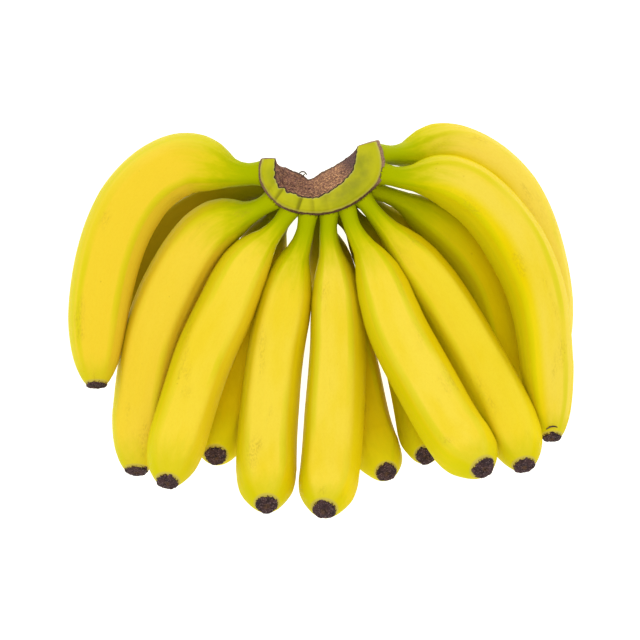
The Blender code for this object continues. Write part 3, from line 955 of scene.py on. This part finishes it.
class Nodes:
    """Short ways to build a material's node tree."""

    def __init__(self, name):
        self.material = bpy.data.materials.new(name)
        self.material.use_nodes = True
        self.tree = self.material.node_tree
        self.shader = self.tree.nodes["Principled BSDF"]

    def add(self, kind, inputs=None, **settings):
        node = self.tree.nodes.new(kind)
        for key, value in settings.items():
            setattr(node, key, value)
        for key, value in (inputs or {}).items():
            self.put(node.inputs[key], value)
        return node

    def put(self, socket, value):
        if isinstance(value, bpy.types.NodeSocket):
            self.tree.links.new(value, socket)
        else:
            socket.default_value = value

    def value(self, name):
        return self.add("ShaderNodeAttribute", attribute_name=name).outputs["Fac"]

    def vector(self, name):
        return self.add("ShaderNodeAttribute", attribute_name=name).outputs["Vector"]

    def math(self, operation, a, b):
        return self.add("ShaderNodeMath", {0: a, 1: b}, operation=operation).outputs[0]

    def times(self, a, b):
        return self.math("MULTIPLY", a, b)

    def ramp(self, value, low, high, out_low=0.0, out_high=1.0):
        node = self.add(
            "ShaderNodeMapRange",
            {"Value": value, "From Min": low, "From Max": high, "To Min": out_low, "To Max": out_high},
            interpolation_type="SMOOTHSTEP",
        )
        return node.outputs["Result"]

    def mix(self, share, a, b):
        node = self.add("ShaderNodeMix", data_type="RGBA")
        self.put(node.inputs["Factor"], share)
        self.put(node.inputs[6], a)
        self.put(node.inputs[7], b)
        return node.outputs[2]

    def noise(self, vector, scale, detail=4.0, roughness=0.55):
        inputs = {"Vector": vector, "Scale": scale, "Detail": detail, "Roughness": roughness}
        return self.add("ShaderNodeTexNoise", inputs).outputs["Fac"]

    def stretch(self, vector, x, y, z):
        node = self.add("ShaderNodeVectorMath", {0: vector, 1: (x, y, z)}, operation="MULTIPLY")
        return node.outputs[0]

    def spots(self, vector, scale):
        return self.add("ShaderNodeTexVoronoi", {"Vector": vector, "Scale": scale}).outputs["Distance"]

    def bump(self, height, distance, strength=1.0, below=None):
        node = self.add("ShaderNodeBump", {"Height": height, "Distance": distance, "Strength": strength})
        if below is not None:
            self.put(node.inputs["Normal"], below)
        return node.outputs["Normal"]

    def place(self):
        return self.add("ShaderNodeNewGeometry").outputs["Position"]


def peel_material():
    """Ripe banana peel: yellow body, lime neck, greener ridges, specks, scuffs and a waxy sheen, with
    painted light: a painted sheen on one face, painted shade on the lower fingers' upper skin and at each
    finger's foot, and olive dulling that is partly painted shade.
    """
    n = Nodes("peel")
    skin = n.vector("skin")
    broad = n.noise(n.stretch(skin, 0.014, 0.05, 0.05), 1.0, 3.0)
    streak = n.noise(n.stretch(skin, 0.022, 0.3, 0.3), 1.0, 4.0)
    fine = n.noise(n.stretch(skin, 0.5, 0.9, 0.9), 1.0, 5.0)
    yellow = n.mix(n.ramp(broad, 0.35, 0.65), srgb(237, 209, 4), srgb(241, 216, 22))
    yellow = n.mix(n.value("warm"), yellow, srgb(242, 208, 50))
    # Painted sheen: a cream-pale face, a painted reflection of the bright surroundings.
    painted_sheen = n.times(n.value("painted_sheen"), n.ramp(broad, 0.3, 0.62, 0.5, 1.0))
    colour = n.mix(n.times(painted_sheen, 0.8), yellow, srgb(246, 219, 84))
    colour = n.mix(n.times(n.ramp(fine, 0.4, 0.7), 0.1), colour, srgb(222, 182, 4))
    uneven = n.ramp(streak, 0.25, 0.75, -0.16, 0.16)
    crest = n.ramp(n.math("ADD", n.value("ridge"), n.times(uneven, 0.45)), 0.62, 1.02)
    beside = n.ramp(n.noise(n.stretch(skin, 0.011, 0.03, 0.03), 1.0, 2.0), 0.38, 0.62)
    near = n.ramp(n.value("neck_green"), 1.2, 5.5, 0.75, 0.6)
    ridge = n.times(n.times(crest, beside), near)
    colour = n.mix(ridge, colour, srgb(212, 206, 2))
    lime = n.times(n.value("lime"), n.ramp(streak, 0.25, 0.75, 0.45, 0.8))
    colour = n.mix(lime, colour, srgb(214, 208, 10))
    behind = n.math("SUBTRACT", n.value("neck_green"), n.times(crest, 0.2))
    reach = n.math("ADD", behind, uneven)
    neck = n.ramp(reach, 0.7, 1.9, 1.0, 0.0)
    colour = n.mix(n.times(neck, 0.9), colour, srgb(208, 200, 0))
    deep = n.ramp(reach, 0.2, 1.2, 1.0, 0.0)
    colour = n.mix(deep, colour, srgb(170, 180, 0))
    tip = n.ramp(n.math("ADD", n.value("tip_green"), uneven), 0.0, 1.3, 1.0, 0.0)
    colour = n.mix(n.times(tip, 0.6), colour, srgb(206, 198, 18))
    # Olive dulling: partly the peel's own tone, partly painted shade on the fingers that lie under the
    # others.
    olive_and_shade = n.times(n.value("olive_and_shade"), n.ramp(broad, 0.3, 0.7, 0.6, 1.0))
    colour = n.mix(olive_and_shade, colour, srgb(170, 164, 0))
    # Painted shade: dull brown on the upper skin of the lower fingers near the crown, for the shadow of the
    # fingers above.
    colour = n.mix(n.times(n.value("painted_shade"), 0.62), colour, srgb(112, 92, 8))
    rim = n.ramp(n.value("rim"), 0.5, 0.9)
    colour = n.mix(n.times(rim, 0.7), colour, srgb(190, 172, 88))
    rim_dark = n.ramp(n.math("ADD", n.value("rim"), n.ramp(fine, 0.3, 0.7, -0.12, 0.08)), 0.9, 1.05)
    colour = n.mix(rim_dark, colour, srgb(82, 58, 34))
    # Painted shade: dark olive-brown at each finger's foot, in the crevice where it meets the crown.
    root = n.ramp(n.math("ADD", n.value("root"), n.ramp(fine, 0.3, 0.7, -0.12, 0.12)), 0.84, 1.02)
    colour = n.mix(n.times(root, 0.7), colour, srgb(92, 80, 20))
    distance = n.spots(skin, 0.14)
    size = n.ramp(n.noise(skin, 0.06, 2.0), 0.5, 0.8, 0.0, 0.16)
    speck = n.ramp(n.math("SUBTRACT", size, distance), -0.03, 0.03)
    colour = n.mix(n.times(speck, 0.22), colour, srgb(160, 122, 20))
    scuff_area = n.ramp(n.noise(n.stretch(skin, 0.02, 0.06, 0.06), 1.0, 2.0), 0.6, 0.72)
    scuff_line = n.ramp(n.noise(n.stretch(skin, 0.45, 1.1, 1.1), 1.0, 4.0), 0.36, 0.74)
    scuff = n.times(n.math("MAXIMUM", scuff_area, n.times(n.value("worn"), 1.4)), scuff_line)
    colour = n.mix(n.times(scuff, 0.34), colour, srgb(176, 146, 40))
    n.put(n.shader.inputs["Base Color"], colour)
    waxy = n.ramp(fine, 0.3, 0.7, 0.34, 0.46)
    n.put(n.shader.inputs["Roughness"], n.math("ADD", waxy, n.times(scuff, 0.2)))
    n.shader.inputs["Specular IOR Level"].default_value = 0.012
    n.shader.inputs["Specular Tint"].default_value = (1.0, 0.93, 0.5, 1.0)
    n.shader.inputs["Subsurface Weight"].default_value = 0.04
    n.shader.inputs["Subsurface Radius"].default_value = (0.003, 0.002, 0.0005)
    n.shader.inputs["Subsurface Scale"].default_value = 1.0
    pores = n.noise(n.stretch(skin, 1.6, 2.4, 2.4), 1.0, 3.0)
    low = n.bump(streak, 0.0005, 0.35)
    high = n.bump(pores, 0.0001, 0.35, low)
    n.put(n.shader.inputs["Normal"], n.bump(scuff, 0.00004, 0.3, high))
    return n.material


def button_material():
    """The dried blossom end: near black with purple-brown crests and pale crumbs."""
    n = Nodes("blossom_end")
    place = n.place()
    crumbs = n.noise(place, 1100.0, 5.0, 0.65)
    grain = n.noise(place, 320.0, 4.0)
    colour = n.mix(n.ramp(grain, 0.35, 0.65), srgb(40, 26, 26), srgb(72, 50, 48))
    colour = n.mix(n.ramp(crumbs, 0.52, 0.66), colour, srgb(124, 100, 98))
    crest = n.ramp(n.value("crest"), 0.2, 1.0)
    colour = n.mix(n.times(crest, 0.25), colour, srgb(88, 66, 70))
    centre = n.ramp(n.value("share"), 0.12, 0.45, 1.0, 0.0)
    core = n.times(n.times(centre, 0.8), n.ramp(grain, 0.4, 0.6))
    colour = n.mix(core, colour, srgb(112, 84, 60))
    n.put(n.shader.inputs["Base Color"], colour)
    n.put(n.shader.inputs["Roughness"], n.ramp(grain, 0.3, 0.7, 0.7, 0.95))
    n.shader.inputs["Specular IOR Level"].default_value = 0.18
    low = n.bump(grain, 0.0008, 0.7)
    n.put(n.shader.inputs["Normal"], n.bump(crumbs, 0.0003, 0.8, low))
    return n.material


def crown_material():
    """The crown: olive cushion with smudges and pale edges, painted shade along its creases, brown scar
    line, mottled dry cut.
    """
    n = Nodes("crown")
    place = n.place()
    broad = n.noise(place, 60.0, 3.0)
    fine = n.noise(place, 420.0, 5.0)
    grain = n.noise(place, 1300.0, 4.0)
    band = n.mix(n.ramp(broad, 0.35, 0.65), srgb(168, 170, 4), srgb(192, 188, 16))
    smudge = n.times(n.value("dirt"), n.ramp(n.noise(place, 150.0, 5.0), 0.3, 0.7, 0.35, 1.0))
    band = n.mix(n.times(smudge, 0.55), band, srgb(128, 128, 34))
    # Painted shade: the band darkens along its creases, more widely on their left side.
    band = n.mix(n.ramp(n.value("crease_painted_shade"), 0.05, 0.95, 0.0, 0.72), band, srgb(112, 106, 4))
    pale_out = n.times(n.ramp(n.value("from_scar"), 0.8, 2.1, 1.0, 0.0), 0.5)
    band = n.mix(pale_out, band, srgb(198, 186, 96))
    pale_cut = n.times(n.ramp(n.value("from_cut"), 0.5, 1.7, 1.0, 0.0), 0.5)
    band = n.mix(pale_cut, band, srgb(196, 186, 100))
    torn = n.math("ADD", n.value("from_cut"), n.ramp(fine, 0.3, 0.7, -0.25, 0.25))
    thin_cut = n.ramp(torn, 0.25, 0.7, 1.0, 0.0)
    band = n.mix(thin_cut, band, srgb(44, 28, 24))
    under = n.mix(n.value("wall"), band, srgb(140, 150, 16))
    under = n.mix(n.value("under"), under, srgb(120, 128, 24))
    scar_brown = n.mix(n.ramp(grain, 0.35, 0.65), srgb(74, 50, 34), srgb(112, 84, 62))
    ribbon = n.mix(n.ramp(grain, 0.3, 0.7), srgb(132, 98, 72), srgb(176, 142, 118))
    left = n.ramp(n.value("across"), 0.2, 0.34, 0.55, 0.0)
    scar_brown = n.mix(n.math("MAXIMUM", n.value("ribbon"), left), scar_brown, ribbon)
    scarred = n.math("ADD", n.value("scar"), n.ramp(fine, 0.3, 0.7, -0.2, 0.2))
    skin = n.mix(n.ramp(scarred, 0.25, 0.6), under, scar_brown)
    patch = n.noise(place, 170.0, 4.0, 0.6)
    side = n.ramp(n.value("across"), 0.3, 0.62)
    brown = n.mix(n.ramp(patch, 0.38, 0.62), srgb(86, 54, 50), srgb(142, 98, 80))
    brown = n.mix(n.times(side, 0.6), brown, srgb(164, 118, 90))
    orange = n.times(n.ramp(n.noise(place, 760.0, 3.0), 0.5, 0.6), n.ramp(side, 0.0, 1.0, 0.5, 1.0))
    brown = n.mix(orange, brown, srgb(226, 170, 118))
    plum = n.times(n.ramp(n.value("across"), 0.68, 0.86), 0.85)
    brown = n.mix(plum, brown, srgb(92, 66, 68))
    dark = n.times(n.ramp(n.value("cut_depth"), 0.0, 0.05, 1.0, 0.0), 0.85)
    brown = n.mix(dark, brown, srgb(40, 26, 24))
    far = n.times(n.ramp(n.value("cut_depth"), 0.86, 0.97), 0.7)
    brown = n.mix(far, brown, srgb(44, 30, 30))
    pits = n.ramp(n.noise(place, 900.0, 3.0), 0.36, 0.47, 1.0, 0.0)
    brown = n.mix(n.times(pits, 0.75), brown, srgb(38, 22, 22))
    colour = n.mix(n.ramp(n.value("cut"), 0.4, 0.6), skin, brown)
    n.put(n.shader.inputs["Base Color"], colour)
    dry = n.math("MAXIMUM", n.value("cut"), n.value("scar"))
    n.put(n.shader.inputs["Roughness"], n.ramp(dry, 0.0, 1.0, 0.52, 0.92))
    n.shader.inputs["Specular IOR Level"].default_value = 0.12
    rough_bump = n.bump(fine, 0.0012, n.ramp(dry, 0.0, 1.0, 0.12, 0.8))
    n.put(n.shader.inputs["Normal"], n.bump(grain, 0.0004, n.ramp(dry, 0.0, 1.0, 0.1, 0.8), rough_bump))
    return n.material


def floor_material():
    """A plain pale tabletop with a trace of grain, lit evenly from below."""
    n = Nodes("table")
    place = n.place()
    grain = n.noise(place, 30.0, 3.0)
    pale = n.mix(grain, (0.60, 0.60, 0.60, 1.0), (0.63, 0.63, 0.63, 1.0))
    n.put(n.shader.inputs["Base Color"], pale)
    n.shader.inputs["Roughness"].default_value = 0.9
    n.shader.inputs["Emission Color"].default_value = (1.0, 1.0, 1.0, 1.0)
    n.shader.inputs["Emission Strength"].default_value = TABLE_GLOW
    n.put(n.shader.inputs["Normal"], n.bump(n.noise(place, 400.0, 2.0), 0.0001, 0.1))
    return n.material


# Half the table's width, and how far its top lies below the fruit, in metres
FLOOR_HALF = 4.0
FLOOR_DROP = 0.0002


def build_floor():
    """The table that the hand lies on."""
    half = FLOOR_HALF
    mesh = bpy.data.meshes.new("floor")
    corners = [(-half, -half, 0.0), (half, -half, 0.0), (half, half, 0.0), (-half, half, 0.0)]
    mesh.from_pydata(corners, [], [(0, 1, 2, 3)])
    mesh.materials.append(floor_material())
    floor = bpy.data.objects.new("floor", mesh)
    floor.location.z = -FLOOR_DROP
    bpy.context.scene.collection.objects.link(floor)


def add_light(name, place, size, power):
    """A soft square light that faces the fruit."""
    data = bpy.data.lights.new(name, "AREA")
    data.shape = "SQUARE"
    data.size = size
    data.energy = power
    light = bpy.data.objects.new(name, data)
    light.location = place
    light.rotation_mode = "QUATERNION"
    light.rotation_quaternion = (Vector(LIGHT_TARGET) - Vector(place)).to_track_quat("-Z", "Y")
    bpy.context.scene.collection.objects.link(light)


def build_light():
    """Soft studio light: a broad one overhead towards the crown, and an even fill all round."""
    add_light("overhead", (-0.15, 0.75, 1.9), 1.6, 9.0)
    add_light("front", (0.1, -0.7, 1.9), 1.3, 3.2)
    world = bpy.data.worlds.new("studio")
    world.use_nodes = True
    background = world.node_tree.nodes["Background"]
    background.inputs["Color"].default_value = (1.0, 1.0, 1.0, 1.0)
    background.inputs["Strength"].default_value = AMBIENT_LIGHT
    bpy.context.scene.world = world


# The camera looks straight down from this height, as wide as the photograph. In the plane at the focus
# height one pixel is this many millimetres.
CAMERA_HEIGHT = 1500.0
PHOTO_PIXELS = 640
MM_PER_PIXEL = 0.62
FOCUS_HEIGHT = 50.0


def build_camera():
    """The photograph's own view."""
    data = bpy.data.cameras.new("camera")
    data.sensor_width = 36.0
    data.lens = data.sensor_width * (CAMERA_HEIGHT - FOCUS_HEIGHT) / (MM_PER_PIXEL * PHOTO_PIXELS)
    data.clip_start = 0.1
    data.clip_end = 20.0
    camera = bpy.data.objects.new("camera", data)
    camera.location = Vector((HAND_SHIFT[0], HAND_SHIFT[1], CAMERA_HEIGHT)) * MM
    bpy.context.scene.collection.objects.link(camera)
    bpy.context.scene.camera = camera


bpy.context.scene.view_settings.view_transform = "Standard"
PEEL = peel_material()
BUTTON = button_material()
CROWN = crown_material()
WALL_LINE = spline(CROWN_WALL, WALL_SAMPLES)
build_crown()
for finger_number, (finger_name, finger_spec) in enumerate(FINGERS.items()):
    build_finger(finger_name, finger_number, finger_spec, WALL_LINE)
build_strands()
build_floor()
build_light()
build_camera()
